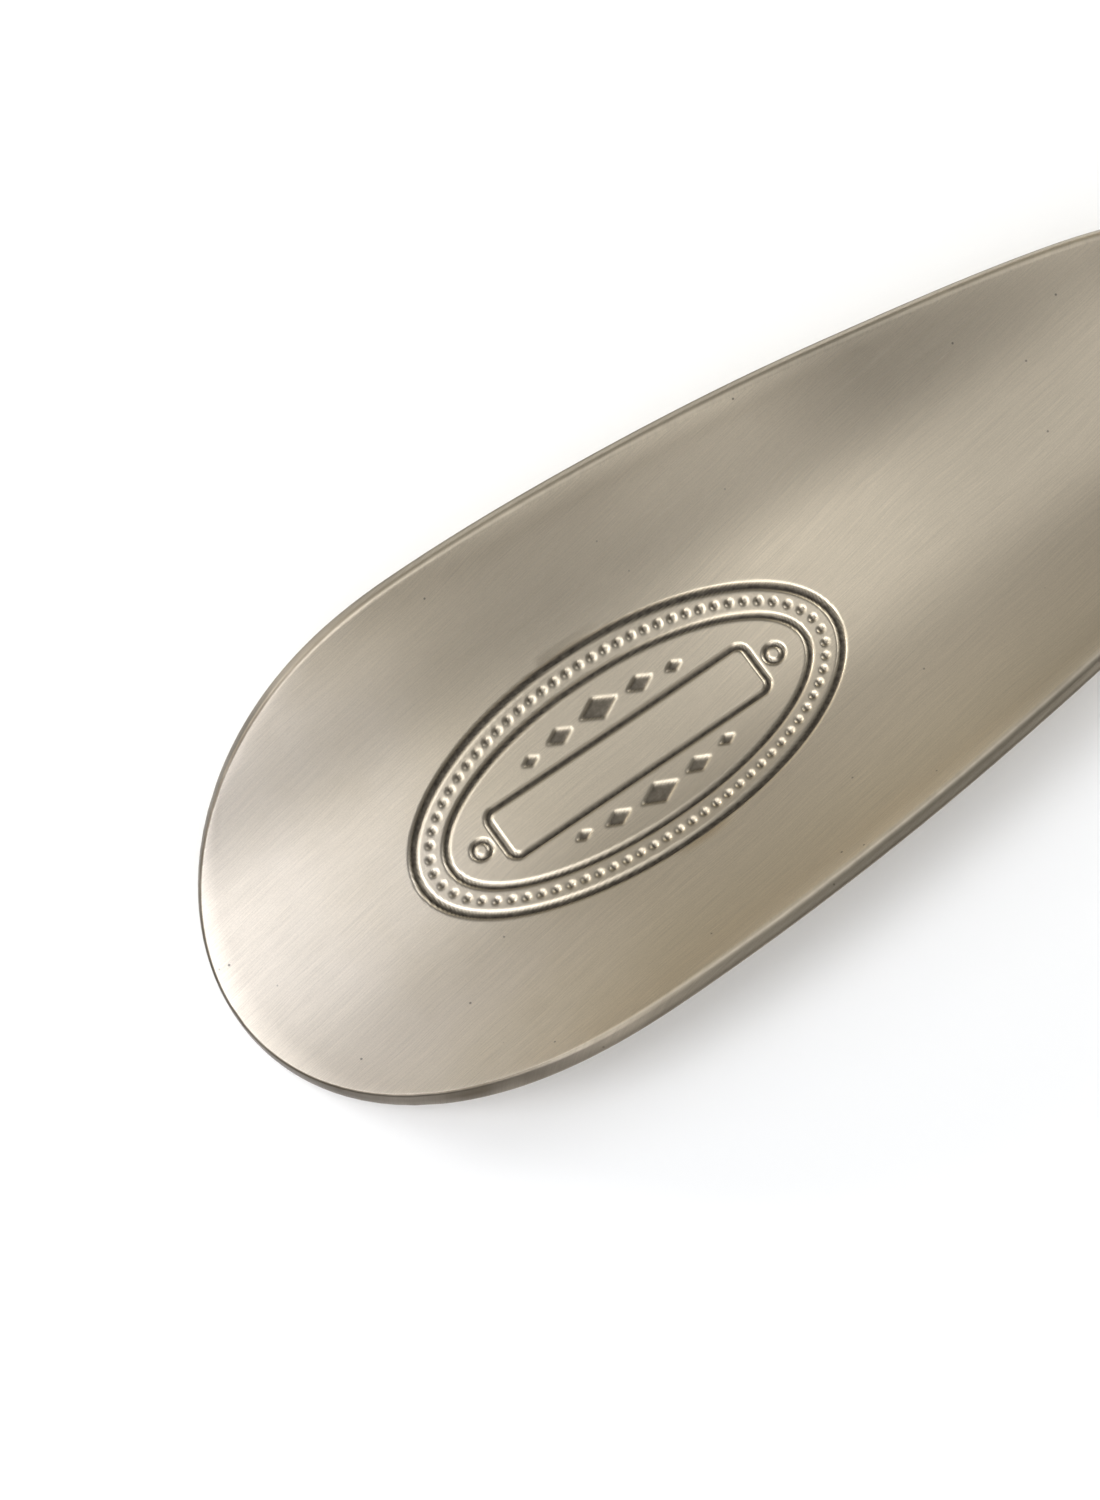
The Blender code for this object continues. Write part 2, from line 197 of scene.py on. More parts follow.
def box_distance(p, q, hp, hq, r):
    dx, dy = np.abs(p) - (hp - r), np.abs(q) - (hq - r)
    return np.hypot(np.maximum(dx, 0), np.maximum(dy, 0)) + np.minimum(np.maximum(dx, dy), 0) - r


def groove(d, width):
    """0 outside a line of that width, 1 at its middle, with sloping walls."""
    t = np.clip((width / 2 + 0.09 - np.abs(d)) / 0.2, 0, 1)
    return t * t * (3 - 2 * t)


def sunk(d):
    t = np.clip((0.09 - d) / 0.2, 0, 1)
    return t * t * (3 - 2 * t)


def engraving(s, y):
    """Share of the groove depth at a point of the trough: a blank oval cartouche."""
    p, q = s - CARTOUCHE_AT, y
    e = groove(oval_distance(p, q, 20.0, 9.7), 0.58)
    e = np.maximum(e, groove(oval_distance(p, q, 17.2, 7.1), 0.46))
    turn = np.linspace(0, 2 * math.pi, 2001)               # beads at even steps between the ovals
    ox, oy = BEAD_OVAL[0] * np.cos(turn), BEAD_OVAL[1] * np.sin(turn)
    run = np.concatenate([[0], np.cumsum(np.hypot(np.diff(ox), np.diff(oy)))])
    for at in (np.arange(BEADS) + 0.5) * run[-1] / BEADS:
        cp, cq = np.interp(at, run, ox), np.interp(at, run, oy)
        e = np.maximum(e, 0.8 * sunk(np.hypot(p - cp, q - cq) - 0.27))
    e = np.maximum(e, groove(box_distance(p, q, 12.6, 2.35, 0.9), 0.46))     # blank name bar
    for side in (-1, 1):
        for dp, size in ((0.0, 1.0), (3.9, 0.68), (-3.9, 0.68), (7.0, 0.42), (-7.0, 0.42)):
            drop = 4.55 - 0.012 * dp * dp
            d = (np.abs(p - dp) / (1.75 * size) + np.abs(q - side * drop) / (0.95 * size) - 1) * 0.8 * size
            e = np.maximum(e, 0.85 * sunk(d))
        e = np.maximum(e, groove(np.hypot((p - side * 14.3) / 1.0, q) - 0.75, 0.34))
    return e


# ---- material helpers -------------------------------------------------------------------------------
class Nodes:
    """Short way to write a material's node tree."""

    def __init__(self, name):
        self.mat = bpy.data.materials.new(name)
        self.mat.use_nodes = True
        self.tree = self.mat.node_tree
        self.bsdf = self.tree.nodes["Principled BSDF"]

    def new(self, kind, **props):
        node = self.tree.nodes.new(kind)
        inputs = props.pop("inputs", {})
        for k, v in props.items():
            setattr(node, k, v)
        for k, v in inputs.items():
            if isinstance(v, bpy.types.NodeSocket):
                self.tree.links.new(v, node.inputs[k])
            else:
                node.inputs[k].default_value = v
        return node

    def link(self, a, b):
        self.tree.links.new(a, b)

    def math(self, op, a, b=None, c=None, clamp=False):
        ins = {0: a}
        if b is not None:
            ins[1] = b
        if c is not None:
            ins[2] = c
        return self.new("ShaderNodeMath", operation=op, use_clamp=clamp, inputs=ins).outputs[0]

    def mapped(self, source, scale, location=(0, 0, 0)):
        return self.new("ShaderNodeMapping", inputs={"Vector": source, "Scale": scale, "Location": location}).outputs[0]

    def noise(self, vector, scale, detail=3.0, rough=0.55, distortion=0.0):
        return self.new("ShaderNodeTexNoise", inputs={"Vector": vector, "Scale": scale, "Detail": detail,
                                                      "Roughness": rough, "Distortion": distortion}).outputs[0]

    def ramp(self, fac, stops, interpolation="LINEAR"):
        node = self.new("ShaderNodeValToRGB", inputs={0: fac})
        cr = node.color_ramp
        cr.interpolation = interpolation
        while len(cr.elements) < len(stops):
            cr.elements.new(0.5)
        for el, (pos, col) in zip(cr.elements, stops):
            el.position = pos
            el.color = (*col, 1.0) if len(col) == 3 else col
        return node.outputs[0]

    def range(self, value, a, b, c=0.0, d=1.0, smooth=False):
        return self.new("ShaderNodeMapRange", interpolation_type="SMOOTHSTEP" if smooth else "LINEAR",
                        inputs={"Value": value, "From Min": a, "From Max": b, "To Min": c, "To Max": d}).outputs[0]

    def mix(self, fac, a, b, blend="MIX"):
        node = self.new("ShaderNodeMix", data_type="RGBA", blend_type=blend)
        for key, v in ((0, fac), (6, a), (7, b)):
            if isinstance(v, bpy.types.NodeSocket):
                self.tree.links.new(v, node.inputs[key])
            else:
                node.inputs[key].default_value = (*v, 1.0) if isinstance(v, tuple) and len(v) == 3 else v
        return node.outputs[2]

    def attr(self, name):
        return self.new("ShaderNodeAttribute", attribute_name=name).outputs["Fac"]

    def set(self, **values):
        for k, v in values.items():
            sock = self.bsdf.inputs[k.replace("_", " ")]
            if isinstance(v, bpy.types.NodeSocket):
                self.tree.links.new(v, sock)
            else:
                sock.default_value = v


def brushed_metal(name, light, dark, rough, grooves=False, streak_axis="uv", turn=0.0):
    n = Nodes(name)
    if streak_axis == "uv":
        base = n.new("ShaderNodeUVMap", uv_map="UVMap").outputs[0]     # millimetres: along, across
    else:
        base = n.new("ShaderNodeTexCoord").outputs["Object"]
        base = n.mapped(base, (1000, 1000, 1000))
    base = n.new("ShaderNodeMapping", inputs={"Vector": base, "Rotation": (0, 0, -math.radians(turn))}).outputs[0]
    obj = n.mapped(n.new("ShaderNodeTexCoord").outputs["Object"], (1000, 1000, 1000))   # millimetres
    # brush lines: long along, fine across, slightly wandering
    wander = n.noise(n.mapped(base, (0.035, 0.05, 1)), 1.0, 2)
    bent = n.new("ShaderNodeVectorMath", operation="ADD", inputs={0: base}).outputs[0]
    bent_node = bent.node
    offset = n.new("ShaderNodeCombineXYZ", inputs={"Y": n.math("MULTIPLY", wander, 2.4)}).outputs[0]
    n.link(offset, bent_node.inputs[1])
    fine = n.noise(n.mapped(bent, (0.20, 10.5, 1)), 1.0, 4, 0.65)
    coarse = n.noise(n.mapped(bent, (0.055, 2.1, 1), (7.3, 2.1, 0)), 1.0, 3, 0.6)
    hair = n.noise(n.mapped(bent, (0.42, 26.0, 1), (1.7, 9.2, 0)), 1.0, 2, 0.5)
    grain = n.noise(obj, 9.0, 2, 0.6)
    cloud = n.noise(obj, 0.055, 3, 0.55)
    streak = n.math("ADD", n.math("MULTIPLY", fine, 0.55), n.math("ADD", n.math("MULTIPLY", coarse, 0.2),
                                                               n.math("MULTIPLY", hair, 0.25)))
    shade = n.range(streak, 0.39, 0.61)
    colour = n.mix(shade, dark, light)
    colour = n.mix(n.range(cloud, 0.35, 0.7, 0.0, 0.35), colour, tuple(c * 0.86 for c in dark))
    sparkle = n.range(grain, 0.3, 0.7, 0.93, 1.05)
    colour = n.mix(1.0, colour, n.new("ShaderNodeCombineColor", inputs={0: sparkle, 1: sparkle, 2: sparkle}).outputs[0],
                   "MULTIPLY")
    rough_v = n.math("ADD", n.range(streak, 0.3, 0.7, rough + 0.06, rough - 0.05),
                     n.range(cloud, 0.3, 0.7, -0.02, 0.03))
    # a few pits
    pit = n.new("ShaderNodeTexVoronoi", inputs={"Vector": obj, "Scale": 0.33}).outputs["Distance"]
    pit = n.range(pit, 0.018, 0.045, 1.0, 0.0)
    colour = n.mix(n.math("MULTIPLY", pit, 0.75), colour, (0.05, 0.042, 0.034))
    height = n.math("ADD", n.math("MULTIPLY", streak, 1.0), n.math("MULTIPLY", grain, 0.5))
    bump = n.new("ShaderNodeBump", inputs={"Strength": 0.2, "Distance": 0.00004, "Height": height})
    if grooves:
        g = n.attr("engraved")
        edge = n.attr("rim")
        dirt = n.range(n.noise(obj, 2.2, 3), 0.3, 0.7, 0.88, 1.0)
        colour = n.mix(n.math("MULTIPLY", g, dirt, clamp=True), colour, (0.045, 0.038, 0.030))
        rough_v = n.math("ADD", rough_v, n.math("MULTIPLY", g, 0.22))
        along = n.new("ShaderNodeSeparateXYZ", inputs={0: n.new("ShaderNodeUVMap", uv_map="UVMap").outputs[0]}).outputs[0]
        tip_highlight_and_wear = n.math("ADD", along, n.math("MULTIPLY", n.noise(obj, 0.12, 3), 14.0))
        tip_highlight_and_wear = n.range(tip_highlight_and_wear, 10.0, 38.0, 1.0, 0.0, smooth=True)          # the tip is painted brighter and whiter: a painted highlight, with some wear from heels
        colour = n.mix(n.math("MULTIPLY", tip_highlight_and_wear, n.math("SUBTRACT", 1.0, g, clamp=True)), colour,
                       n.mix(1.0, colour, (1.24, 1.29, 1.47), "MULTIPLY"))
        # the top rounding of the rim is painted lighter: partly edge wear, partly painted highlight
        wear_and_highlight = n.math("MULTIPLY", edge, n.range(n.noise(obj, 0.8, 3), 0.25, 0.6, 0.35, 0.85))
        colour = n.mix(wear_and_highlight, colour, tuple(min(1.0, c * 1.1) for c in light))
        # the rim's outer rounding, edge face and back edge are painted dark: painted shade
        rim_painted_shade = n.math("MULTIPLY", n.attr("rim_painted_shade"), n.range(n.noise(obj, 0.25, 2), 0.3, 0.7, 0.88, 1.0))
        colour = n.mix(rim_painted_shade, colour, (0.12, 0.10, 0.075))
        rough_v = n.math("ADD", rough_v, n.math("MULTIPLY", rim_painted_shade, 0.14))
    n.set(Metallic=1.0, Base_Color=colour, Roughness=rough_v, Normal=bump.outputs[0], Anisotropic=0.35)
    if streak_axis == "uv":
        tangent = n.new("ShaderNodeTangent", direction_type="UV_MAP", uv_map="UVMap")
        n.set(Tangent=tangent.outputs[0])
        n.bsdf.inputs["Anisotropic Rotation"].default_value = 0.25
    return n.mat


NICKEL_LIGHT, NICKEL_DARK = (0.739, 0.647, 0.506), (0.581, 0.509, 0.398)
blade_metal = brushed_metal("brushed_nickel", NICKEL_LIGHT, NICKEL_DARK, 0.34, grooves=True, turn=9.0)


# ---- blade --------------------------------------------------------------------------------------------
def grid_rows(edges, across):
    """(s, y) arrays of the rows: bent with the tip's outline at first, then straight across."""
    corner = tip_outline(TIP_CORNER * SPOON_HALF)
    bend = np.maximum(0.0, 1 - (edges - corner) / (TIP_BLEND_END - corner)) ** 1.3
    y = half_width(edges)[:, None] * across[None, :]
    s = edges[:, None] - bend[:, None] * (corner - tip_outline(np.abs(across) * TIP_CORNER * SPOON_HALF))[None, :]
    return s, y


def build_blade():
    corner = tip_outline(TIP_CORNER * SPOON_HALF)
    # stations along the edge, tip to the narrow shank, then to the eye
    first = spread([(corner, 0), (corner + 1.7, 1.7), (21.0, 0.45), (60.0, 0.155), (64.0, 0.5), (150.0, 1.1)])
    eye_end = TANG_END + math.radians(EYE_TURN) * EYE_RADIUS
    later = spread([(151.5, 0), (365.0, 3.4), (TANG_START, 1.2), (TANG_END, 6.0), (eye_end - 1.5, 0.35),
                    (eye_end, 1.5)])
    fine_a = 10.2 / SPOON_HALF
    side = [1.0, 0.93, 0.86, 0.79, 0.72, 0.655, 0.60, 0.555, 0.52]
    mid = np.linspace(-fine_a, fine_a, 133)
    across1 = np.array([-a for a in side] + list(mid) + side[::-1])
    across2 = np.linspace(-1, 1, 41)

    verts, uvs, engraved, rims, dark = [], [], [], [], []

    def add(s, y, lift, eng=None):
        """Vertices at (s, y) on the back plus lift along the sheet's normal; returns indices."""
        start = len(verts)
        s, y = np.ravel(s), np.ravel(y)
        n = sheet_normal(s, y)
        e = np.zeros(len(s)) if eng is None else eng
        verts.extend(back_point(s, y) + n * (lift - e * GROOVE_DEPTH)[:, None])
        uvs.extend(np.stack([s, y], -1))
        engraved.extend(e)
        rims.extend(np.zeros(len(s)))
        dark.extend(np.zeros(len(s)))
        return np.arange(start, start + len(s))

    s1, y1 = grid_rows(first, across1)
    s2, y2 = grid_rows(later, across2)
    eng = engraving(s1, y1)
    R_BACK, REACH = 0.3, 4.0            # lower rim radius, and how far the rows make room for the upper one

    def boundary_frame(s, y):
        """Point, normal and outward direction in the surface for a closed loop of (s, y)."""
        p = back_point(s, y)
        t = np.roll(p, -1, 0) - np.roll(p, 1, 0)
        t /= np.linalg.norm(t, axis=1, keepdims=True)
        n = sheet_normal(s, y)
        o = np.cross(t, n)
        return p, n, o / np.linalg.norm(o, axis=1, keepdims=True)

    # boundary loop: tip row (-y to +y), +y side, tail row (+y to -y), -y side
    loop_s = np.concatenate([s1[0], s1[1:, -1], s2[:, -1], s2[-1, -2::-1], s2[-2::-1, 0], s1[:0:-1, 0]])
    loop_y = np.concatenate([y1[0], y1[1:, -1], y2[:, -1], y2[-1, -2::-1], y2[-2::-1, 0], y1[:0:-1, 0]])
    p, n, o = boundary_frame(loop_s, loop_y)
    tipness = np.clip(1 - (loop_s - 12.0) / 26.0, 0, 1)[:, None]
    R_TOP = 0.6 - 0.36 * tipness                 # the upper rim is sharper round the tip, where more of it is also painted dark as painted shade
    centre = back_point(np.array([30.0]), np.array([0.0]))[0]
    if np.sum(o[0] * (p[0] - centre)) < 0:
        o = -o

    n1, m1 = s1.shape
    n2, m2 = s2.shape
    top1 = add(s1, y1, np.full(s1.size, SHEET), eng.ravel()).reshape(n1, m1)
    top2 = add(s2, y2, np.full(s2.size, SHEET)).reshape(n2, m2)
    loop_top = np.concatenate([top1[0], top1[1:, -1], top2[:, -1], top2[-1, -2::-1], top2[-2::-1, 0], top1[:0:-1, 0]])
    V = np.array(verts)
    rim_top = p + n * SHEET
    for part in np.array_split(np.arange(len(V)), 40):          # rows near the edge move in a little
        gap = V[part][:, None, :] - rim_top[None, :, :]
        near = np.argmin((gap ** 2).sum(-1), axis=1)
        depth = np.clip(-np.sum(gap[np.arange(len(part)), near] * o[near], axis=1), 0, REACH)
        V[part] -= o[near] * R_TOP[near] * (1 - depth / REACH)[:, None]
    V[loop_top] = rim_top - o * R_TOP
    verts = list(V)

    faces = []
    for i in range(n1 - 1):
        quads(top1[i], top1[i + 1], faces)
    zip_rows(top1[-1], across1, top2[0], across2, faces)
    for i in range(n2 - 1):
        quads(top2[i], top2[i + 1], faces)

    # rim: round top edge, flat face, small round back edge
    rings = [loop_top]
    prof = []
    flat = tipness[:, 0]                          # more of the rim is painted dark at the tip: painted shade
    # each ring carries a lighter value round the rounding's middle (edge wear and painted highlight) and a
    # painted-shade value that darkens its outer part
    for deg in (9, 18, 27, 36, 45, 54, 63, 72, 81, 90):
        a = math.radians(deg)
        prof.append((-R_TOP + R_TOP * math.sin(a), SHEET - R_TOP + R_TOP * math.cos(a),
                     math.sin(2 * a) * (1 - flat),
                     np.clip((deg - 42 + 40 * flat) / (34.0 - 16.0 * flat), 0, 1) * (0.42 + 0.58 * flat)))
    prof.append((0.0, 0.5 * (SHEET - R_TOP + R_BACK), 0.0, 0.42 + 0.58 * flat))
    for deg in (0, 22.5, 45, 67.5, 90):
        a = math.radians(deg)
        prof.append((-R_BACK + R_BACK * math.cos(a), R_BACK - R_BACK * math.sin(a), 0.0, 0.9 - deg / 90.0 * 0.5))
    for out, up, wear_and_highlight, rim_painted_shade in prof:
        start = len(verts)
        verts.extend(p + o * out + n * up)
        uvs.extend(np.stack([loop_s, loop_y * (1 + 0.02 * (SHEET - np.mean(up)))], -1))
        engraved.extend(np.zeros(len(p)))
        rims.extend(np.full(len(p), wear_and_highlight))
        dark.extend(np.full(len(p), rim_painted_shade))
        rings.append(np.arange(start, start + len(p)))
    for a, b in zip(rings[:-1], rings[1:]):
        for j in range(len(a)):
            k = (j + 1) % len(a)
            faces.append((a[j], a[k], b[k], b[j]))

    # back: the same rows, fewer columns, zipped to the rim at tip and tail
    last = rings[-1]
    tip_run = last[:m1]
    plus = last[m1 - 1:m1 - 1 + n1 - 1 + n2 + 1 - 1 + 1][:n1 + n2]          # +y side, tip row to tail row
    tail_run = last[n1 - 1 + m1 - 1 + n2:][:m2 - 1]
    tail_run = np.concatenate([[plus[-1]], tail_run])                          # +y to -y
    minus = np.concatenate([[last[0]], last[:-(n1 + n2 - 1):-1], [tail_run[-1]]])
    across_b = np.linspace(-1, 1, 25)
    edges = np.concatenate([first, later])
    sb, yb = grid_rows(edges, across_b)
    inner = np.full((n1 + n2, 25), -1)
    inner[1:-1, 1:-1] = add(sb[1:-1, 1:-1], yb[1:-1, 1:-1], np.zeros(sb[1:-1, 1:-1].size)).reshape(n1 + n2 - 2, 23)
    inner[:, -1] = plus
    inner[:, 0] = minus[:n1 + n2]
    for i in range(1, n1 + n2 - 2):
        quads(inner[i], inner[i + 1], faces, flip=True)
    zip_rows(tip_run, across1, inner[1], across_b, faces, flip=True)
    zip_rows(inner[-2], across_b, tail_run[::-1], across2, faces, flip=True)

    ob = mesh_object("blade_sheet", verts, faces, blade_metal, uvs,
                     [("engraved", np.array(engraved)), ("rim", np.array(rims)), ("rim_painted_shade", np.array(dark))])
    return ob


blade = build_blade()
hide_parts("blade")
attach(blade, ROOT)


# ---- leather ------------------------------------------------------------------------------------------
def leather(name, light, dark, edge_colour, grain=1.0):
    n = Nodes(name)
    obj = n.mapped(n.new("ShaderNodeTexCoord").outputs["Object"], (1000, 1000, 1000))
    warp = n.noise(obj, 0.7, 3, 0.6)
    bent = n.new("ShaderNodeVectorMath", operation="ADD", inputs={0: obj}).outputs[0]
    n.link(n.new("ShaderNodeCombineXYZ", inputs={"X": warp, "Y": warp, "Z": warp}).outputs[0], bent.node.inputs[1])
    pebble = n.new("ShaderNodeTexVoronoi", feature="DISTANCE_TO_EDGE",
                   inputs={"Vector": bent, "Scale": 1.5, "Randomness": 1.0}).outputs["Distance"]
    pebble = n.range(pebble, 0.0, 0.16, smooth=True)
    pores = n.new("ShaderNodeTexVoronoi", inputs={"Vector": bent, "Scale": 2.6}).outputs["Distance"]
    pores = n.range(pores, 0.05, 0.16, 1.0, 0.0)
    cloud = n.noise(obj, 0.09, 4, 0.6)
    mottle = n.noise(obj, 0.45, 4, 0.65)
    tone = n.math("ADD", n.math("MULTIPLY", cloud, 0.55), n.math("MULTIPLY", mottle, 0.45))
    colour = n.mix(n.range(tone, 0.34, 0.66), dark, light)
    colour = n.mix(n.math("MULTIPLY", n.range(pebble, 0.0, 1.0, 1.0, 0.0), 0.45), colour, tuple(c * 0.45 for c in dark))
    colour = n.mix(n.math("MULTIPLY", pores, 0.5), colour, tuple(c * 0.35 for c in dark))
    edge = n.attr("edge")
    colour = n.mix(edge, colour, edge_colour)
    height = n.math("SUBTRACT", n.math("MULTIPLY", pebble, 0.7), n.math("MULTIPLY", pores, 0.6))
    height = n.math("ADD", height, n.math("MULTIPLY", mottle, 0.5))
    height = n.math("MULTIPLY", height, n.range(edge, 0.0, 1.0, 1.0, 0.25))
    bump = n.new("ShaderNodeBump", inputs={"Strength": 0.6 * grain, "Distance": 0.00012, "Height": height})
    rough_v = n.math("ADD", n.range(tone, 0.3, 0.7, 0.55, 0.42), n.math("MULTIPLY", edge, -0.1))
    n.set(Base_Color=colour, Roughness=rough_v, Normal=bump.outputs[0])
    n.bsdf.inputs["Specular IOR Level"].default_value = 0.45
    n.bsdf.inputs["Coat Weight"].default_value = 0.12
    n.bsdf.inputs["Coat Roughness"].default_value = 0.35
    return n.mat


saddle = leather("saddle_leather", (0.245, 0.098, 0.038), (0.135, 0.05, 0.02), (0.035, 0.015, 0.008))
welt_mat = leather("welt_leather", (0.12, 0.05, 0.022), (0.07, 0.028, 0.013), (0.035, 0.015, 0.008), 0.6)


def grip_distance(x, y, inset=0.0):
    """Distance inside the grip's plan outline (positive inside)."""
    cx = (GRIP_START + GRIP_END) / 2
    return -box_distance(x - cx, y, (GRIP_END - GRIP_START) / 2 - inset, GRIP_HALF - inset, GRIP_CORNER - inset)


def stitch_places(pitch=3.7):
    """Holes along the seam line: (x, y) points at even steps round the outline."""
    inset = STITCH_INSET
    x0, x1, h, r = GRIP_START + inset, GRIP_END - inset, GRIP_HALF - inset, GRIP_CORNER - inset
    runs = []
    for (cx, cy, a0, length) in ((x1 - r, h - r, 0, x1 - x0 - 2 * r), (x0 + r, h - r, 90, 2 * (h - r)),
                                 (x0 + r, r - h, 180, x1 - x0 - 2 * r), (x1 - r, r - h, 270, 2 * (h - r))):
        runs.append(("arc", cx, cy, math.radians(a0), r * math.pi / 2))
        ex, ey = cx + r * math.cos(math.radians(a0 + 90)), cy + r * math.sin(math.radians(a0 + 90))
        runs.append(("line", ex, ey, math.radians(a0 + 180), length))
    total = sum(run[4] for run in runs)
    count = int(round(total / pitch))
    out = []
    for i in range(count):
        d = total * i / count
        for kind, a, b, ang, length in runs:
            if d <= length:
                if kind == "arc":
                    t = ang + d / r
                    out.append((a + r * math.cos(t), b + r * math.sin(t)))
                else:
                    out.append((a + d * math.cos(ang), b + d * math.sin(ang)))
                break
            d -= length
    return out


HOLES = stitch_places()


def grip_top_height(x, y, crown):
    """Height of a scale's outer face relative to its nominal plane: crown, seam groove, rivet seats."""
    d = grip_distance(x, y)
    h = -crown * np.clip(1 - d / 7.0, 0, 1) ** 2
    h -= 0.34 * np.exp(-((d - STITCH_INSET) / 0.62) ** 2)
    h -= 0.12 * np.exp(-((d - 1.25) / 0.16) ** 2)                   # creased line near the edge
    for hx, hy in HOLES:
        r2 = (x - hx) ** 2 + (y - hy) ** 2
        h -= 0.38 * np.exp(-r2 / 0.30 ** 2)
    for sx in RIVETS_AT:
        r = np.hypot(x - sx, y)
        h -= 0.75 * np.clip((5.6 - r) / 1.0, 0, 1) ** 1.5
    return h


def build_scale(name, z_plane, outward, z_inner, crown, mat):
    """A leather scale: outer face as a fine grid, rounded burnished edge, flat inner face."""
    side_s = [GRIP_START + GRIP_CORNER * (1 - math.cos(t)) for t in np.linspace(0.0, math.pi / 2, 18)]
    mid_s = list(np.linspace(GRIP_START + GRIP_CORNER, GRIP_END - GRIP_CORNER, 251))[1:-1]
    stations = np.array(side_s + mid_s + [GRIP_START + GRIP_END - s for s in side_s[::-1]])
    dx = np.minimum(stations - GRIP_START, GRIP_END - stations)
    hw = np.where(dx < GRIP_CORNER, GRIP_HALF - GRIP_CORNER
                  + np.sqrt(np.maximum(0, GRIP_CORNER ** 2 - (GRIP_CORNER - np.minimum(dx, GRIP_CORNER)) ** 2)), GRIP_HALF)
    across = np.concatenate([[-1, -0.985, -0.965], np.linspace(-0.945, 0.945, 61), [0.965, 0.985, 1]])
    X = np.repeat(stations[:, None], len(across), 1)
    Y = hw[:, None] * across[None, :]
    loop = [(0, j) for j in range(len(across))] + [(i, len(across) - 1) for i in range(1, len(stations))] \
        + [(len(stations) - 1, j) for j in range(len(across) - 2, -1, -1)] \
        + [(i, 0) for i in range(len(stations) - 2, 0, -1)]
    li = np.array([a for a, _ in loop])
    lj = np.array([b for _, b in loop])
    bx, by = X[li, lj].copy(), Y[li, lj].copy()
    # outward directions of the outline
    e = 0.02
    gx = grip_distance(bx - e, by) - grip_distance(bx + e, by)
    gy = grip_distance(bx, by - e) - grip_distance(bx, by + e)
    gl = np.hypot(gx, gy)
    ox, oy = gx / gl, gy / gl
    R = 0.95
    # the face shrinks a little so that its boundary sits at the start of the rounded edge
    cx = (GRIP_START + GRIP_END) / 2
    X2 = cx + (X - cx) * (1 - R / ((GRIP_END - GRIP_START) / 2))
    Y2 = Y * (1 - R / GRIP_HALF)
    X2[li, lj] = bx - ox * R
    Y2[li, lj] = by - oy * R
    H = grip_top_height(X2, Y2, crown)
    wobble = 0.05 * np.sin(X2 * 0.21 + 1.3) * np.cos(Y2 * 0.33) + 0.03 * np.sin(X2 * 0.57 + Y2 * 0.8)
    Z = z_plane + outward * (H + (wobble if crown > 0.2 else 0.0))
    verts = list(np.stack([X2 - LENGTH / 2, Y2, Z], -1).reshape(-1, 3))
    d = grip_distance(X2, Y2)
    edge = list(np.clip(1 - (d - R) / 1.0, 0, 1).ravel() ** 1.5 * 0.65)
    idx = np.arange(X.size).reshape(X.shape)
    faces = []
    for i in range(X.shape[0] - 1):
        quads(idx[i], idx[i + 1], faces, flip=outward < 0)
    ring = idx[li, lj]
    zb = Z[li, lj]
    wall = abs(z_inner - z_plane)
    steps = [(-R + R * math.sin(a), R - R * math.cos(a)) for a in (math.radians(v) for v in (20, 40, 60, 80, 90))]
    steps += [(0.05, R + (wall - R) * f) for f in (0.3, 0.6)] + [(0.02, wall - 0.25), (-0.18, wall)]
    for k, (out, down) in enumerate(steps):
        start = len(verts)
        drop = (zb - z_plane) * max(0.0, 1 - down / (R * 1.2))       # the edge's start height fades in
        z = z_plane - outward * down + drop
        verts.extend(np.stack([bx + ox * out - LENGTH / 2, by + oy * out, z], -1))
        edge.extend(np.full(len(bx), min(1.0, 0.75 + 0.1 * k)))
        new = np.arange(start, start + len(bx))
        for j in range(len(ring)):
            q = (ring[j], ring[(j + 1) % len(ring)], new[(j + 1) % len(ring)], new[j])
            faces.append(q[::-1] if outward < 0 else q)
        ring = new
    faces.append(tuple(ring) if outward < 0 else tuple(ring[::-1]))
    ob = mesh_object(name, verts, faces, mat, None, [("edge", np.array(edge))])
    ob.data.set_sharp_from_angle(angle=math.radians(50))
    return ob


scale_top = build_scale("leather_scale_top", UPPER_TOP, 1.0, UPPER_BOTTOM, 0.45, saddle)
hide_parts("grip_leather_top")
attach(scale_top, ROOT)
scale_bottom = build_scale("leather_scale_bottom", 0.0, -1.0, LEATHER, 0.0, saddle)
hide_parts("grip_leather_bottom")
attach(scale_bottom, ROOT)

for side in ("left", "right"):
    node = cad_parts["welt_" + side]
    node.data.materials.clear()
    node.data.materials.append(welt_mat)


# ---- seams: separate saddle stitches ---------------------------------------------------------------------
def thread_material():
    n = Nodes("waxed_thread")
    uv = n.new("ShaderNodeUVMap", uv_map="UVMap").outputs[0]       # along, round (0..1)
    twist = n.new("ShaderNodeSeparateXYZ", inputs={0: uv})
    phase = n.math("ADD", n.math("MULTIPLY", twist.outputs[0], 2.6), n.math("MULTIPLY", twist.outputs[1], 3.0))
    ply = n.math("ABSOLUTE", n.math("SINE", n.math("MULTIPLY", phase, math.pi)))
    fibre = n.noise(n.mapped(uv, (1.2, 30.0, 1)), 1.0, 3)
    height = n.math("ADD", ply, n.math("MULTIPLY", fibre, 0.35))
    # the thread is painted darker in the grooves between the plies: painted shade
    colour = n.mix(ply, (0.30, 0.235, 0.15), (0.66, 0.57, 0.42))
    colour = n.mix(n.range(fibre, 0.4, 0.75, 0, 0.3), colour, (0.75, 0.68, 0.55))
    bump = n.new("ShaderNodeBump", inputs={"Strength": 0.8, "Distance": 0.00012, "Height": height})
    n.set(Base_Color=colour, Roughness=n.range(ply, 0, 1, 0.75, 0.55), Normal=bump.outputs[0])
    n.bsdf.inputs["Sheen Weight"].default_value = 0.15
    return n.mat


thread_mat = thread_material()


